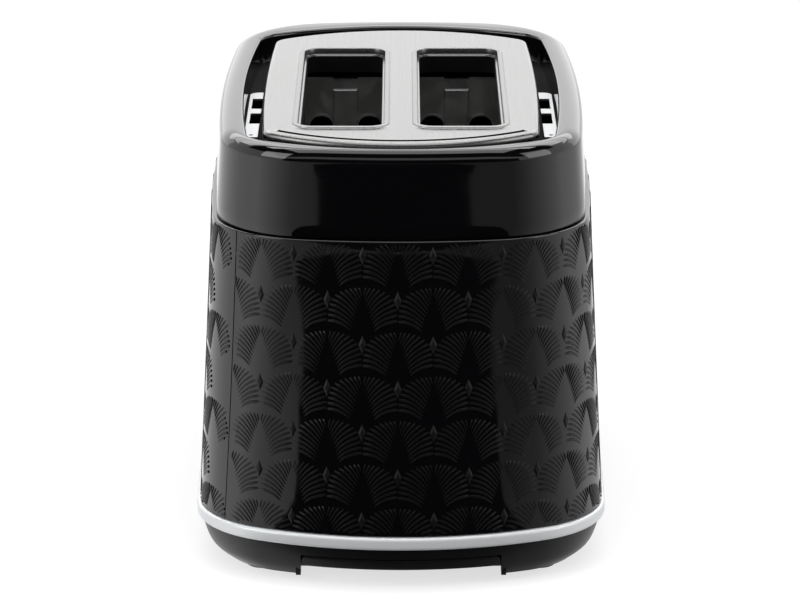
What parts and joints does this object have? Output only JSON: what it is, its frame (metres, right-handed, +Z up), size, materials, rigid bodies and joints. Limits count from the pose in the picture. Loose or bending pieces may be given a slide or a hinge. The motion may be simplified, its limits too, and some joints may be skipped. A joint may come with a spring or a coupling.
{
  "type": "two-slot toaster",
  "caption": "Two-slot toaster with a tapered casing, polished slot plate, sprung bread carriage, browning dial, push buttons and a pull-out crumb tray.",
  "frame": {"origin": "centre of the whole object's box, on the plane that the feet stand on", "axes": "+X across the toaster, +Y along it towards the control end, +Z up; the crumb tray pulls out towards -Y"},
  "size_m": [0.185, 0.3012, 0.1986],
  "materials": {
    "gloss_black": "gloss black moulded plastic",
    "embossed_black": "gloss black plastic with a low embossed fan pattern",
    "base_black": "black moulded plastic, satin",
    "polished_steel": "polished stainless steel",
    "chrome_trim": "bright plated trim",
    "galvanised_sheet": "bright coated steel sheet",
    "steel_wire": "bright drawn steel wire",
    "mica": "pale mica card",
    "heater_alloy": "oxidised resistance ribbon",
    "foot_rubber": "black rubber",
    "circuit_board": "green laminate",
    "white_nylon": "natural nylon",
    "copper_coil": "enamelled copper winding on a steel core",
    "zinc_screw": "zinc-plated steel"
  },
  "bodies": {
    "housing": {"upper_cover": "gloss_black", "body_sleeve": "embossed_black", "trim_ring": "chrome_trim", "base": "base_black", "feet": "foot_rubber", "slot_plate": "polished_steel", "vent_strip_left": "galvanised_sheet", "vent_strip_right": "galvanised_sheet", "rear_bulkhead": "galvanised_sheet", "front_bulkhead": "galvanised_sheet", "heat_shield_left": "galvanised_sheet", "heat_shield_right": "galvanised_sheet", "heater_card_left": "mica", "heater_card_centre": "mica", "heater_card_right": "mica", "heater_ribbon_left": "heater_alloy", "heater_ribbons_centre": "heater_alloy", "heater_ribbon_right": "heater_alloy", "latch_magnet": "copper_coil", "guide_rods": "steel_wire", "rod_bracket": "galvanised_sheet", "return_spring": "steel_wire", "control_panel": "gloss_black", "control_board": "circuit_board", "board_screws": "zinc_screw", "browning_control": "base_black", "tact_switches": "base_black", "cord_gland": "foot_rubber", "terminal_block": "white_nylon", "chassis_screws": "zinc_screw"},
    "carriage": {"bread_rack_left": "steel_wire", "bread_rack_right": "steel_wire", "carriage_bracket": "galvanised_sheet", "carriage_sliders": "white_nylon", "armature_plate": "steel_wire", "lever_knob": "chrome_trim"},
    "guide_left_inner": {"bread_guide_left_inner": "steel_wire"},
    "guide_left_outer": {"bread_guide_left_outer": "steel_wire"},
    "guide_right_inner": {"bread_guide_right_inner": "steel_wire"},
    "guide_right_outer": {"bread_guide_right_outer": "steel_wire"},
    "browning_dial": {"browning_knob": "chrome_trim", "knob_shaft": "steel_wire"},
    "cancel_key": {"button_cancel": "chrome_trim"},
    "reheat_key": {"button_reheat": "chrome_trim"},
    "defrost_key": {"button_defrost": "chrome_trim"},
    "crumb_drawer": {"crumb_tray": "galvanised_sheet", "tray_front": "base_black"}
  },
  "joints": [
    {"name": "carriage_slide", "type": "slide", "parent": "housing", "child": "carriage", "axis": [0, 0, 1], "range_m": [-0.058, 0], "stiffness_N_per_m": 90, "springref_m": 0.04, "deforming": ["return_spring"]},
    {"name": "lean_left_inner", "type": "hinge", "parent": "housing", "child": "guide_left_inner", "pos_m": [-0.00605, 0, 0.044], "axis": [0, 1, 0], "range_deg": [-5.6, 0]},
    {"name": "lean_left_outer", "type": "hinge", "parent": "housing", "child": "guide_left_outer", "pos_m": [-0.04645, 0, 0.044], "axis": [0, 1, 0], "range_deg": [0, 5.6]},
    {"name": "lean_right_inner", "type": "hinge", "parent": "housing", "child": "guide_right_inner", "pos_m": [0.00605, 0, 0.044], "axis": [0, 1, 0], "range_deg": [0, 5.6]},
    {"name": "lean_right_outer", "type": "hinge", "parent": "housing", "child": "guide_right_outer", "pos_m": [0.04645, 0, 0.044], "axis": [0, 1, 0], "range_deg": [-5.6, 0]},
    {"name": "dial_turn", "type": "hinge", "parent": "housing", "child": "browning_dial", "pos_m": [0, 0.12, 0.052], "axis": [0, 1, 0], "range_deg": [-135, 135]},
    {"name": "cancel_press", "type": "slide", "parent": "housing", "child": "cancel_key", "axis": [0, -1, 0], "range_m": [0, 0.0015], "stiffness_N_per_m": 900, "springref_m": -0.0008},
    {"name": "reheat_press", "type": "slide", "parent": "housing", "child": "reheat_key", "axis": [0, -1, 0], "range_m": [0, 0.0015], "stiffness_N_per_m": 900, "springref_m": -0.0008},
    {"name": "defrost_press", "type": "slide", "parent": "housing", "child": "defrost_key", "axis": [0, -1, 0], "range_m": [0, 0.0015], "stiffness_N_per_m": 900, "springref_m": -0.0008},
    {"name": "tray_slide", "type": "slide", "parent": "housing", "child": "crumb_drawer", "axis": [0, -1, 0], "range_m": [0, 0.21]}
  ],
  "couplings": [
    {"joint": "lean_left_inner", "follows": "carriage_slide", "rad_per_m": 1.655},
    {"joint": "lean_left_outer", "follows": "carriage_slide", "rad_per_m": -1.655},
    {"joint": "lean_right_inner", "follows": "carriage_slide", "rad_per_m": -1.655},
    {"joint": "lean_right_outer", "follows": "carriage_slide", "rad_per_m": 1.655}
  ]
}
